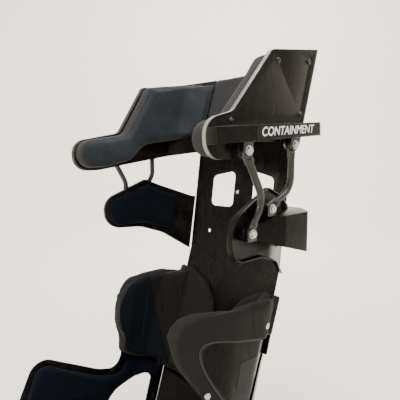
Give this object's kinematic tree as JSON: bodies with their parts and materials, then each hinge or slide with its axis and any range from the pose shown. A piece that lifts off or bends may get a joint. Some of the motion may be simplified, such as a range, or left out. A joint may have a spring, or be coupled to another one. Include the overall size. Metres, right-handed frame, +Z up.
{
  "type": "racing seat",
  "caption": "Full-containment racing seat: bent metal shell, head surround on tubes and bolted struts, shoulder, rib and hip supports, fabric-covered pads.",
  "frame": {"origin": "middle of the bounding box at floor height, under the seat", "axes": "+Z up, -Y the way the driver faces, +X to the driver's left"},
  "size_m": [0.496, 0.6459, 0.9517],
  "materials": {
    "black_coat": "semi-gloss powder coat",
    "edge_trim": "satin",
    "plated_steel": "bright zinc plate",
    "navy_fabric": "smooth stretch fabric over foam",
    "black_fabric": "woven fabric over foam"
  },
  "bodies": {
    "root": {"seat_back_shell": "black_coat", "seat_pan": "black_coat", "mount_doubler_left": "black_coat", "mount_doubler_right": "black_coat", "hip_panel_left": "black_coat", "hip_panel_right": "black_coat", "shoulder_support_left": "black_coat", "shoulder_support_right": "black_coat", "shoulder_pad_left": "navy_fabric", "shoulder_pad_right": "navy_fabric", "shoulder_box_left": "black_coat", "shoulder_box_right": "black_coat", "head_side_plate_left": "black_coat", "head_side_plate_right": "black_coat", "head_plate_trim_left": "edge_trim", "head_plate_trim_right": "edge_trim", "head_pad_left": "navy_fabric", "head_pad_right": "navy_fabric", "head_pad_back": "navy_fabric", "head_plate_screws": "plated_steel", "head_tube_left": "black_coat", "head_tube_right": "black_coat", "tube_front_cap_left": "black_coat", "tube_front_cap_right": "black_coat", "tube_rear_cap_left": "black_coat", "tube_rear_cap_right": "black_coat", "front_strut_left": "black_coat", "front_strut_right": "black_coat", "rear_strut_left": "black_coat", "rear_strut_right": "black_coat", "front_strut_upper_bracket_left": "black_coat", "front_strut_upper_bracket_right": "black_coat", "front_strut_lower_bracket_left": "black_coat", "front_strut_lower_bracket_right": "black_coat", "rear_strut_upper_bracket_left": "black_coat", "rear_strut_upper_bracket_right": "black_coat", "rear_strut_lower_bracket_left": "black_coat", "rear_strut_lower_bracket_right": "black_coat", "strut_bolts": "plated_steel", "rib_support_left": "black_coat", "rib_support_right": "black_coat", "rib_cover_left": "black_fabric", "rib_cover_right": "black_fabric", "rib_cover_snaps": "plated_steel", "hip_pad_left": "black_fabric", "hip_pad_right": "black_fabric", "lower_back_pad": "black_fabric", "seat_cushion": "black_fabric", "strap_snap": "plated_steel"}
  },
  "joints": []
}
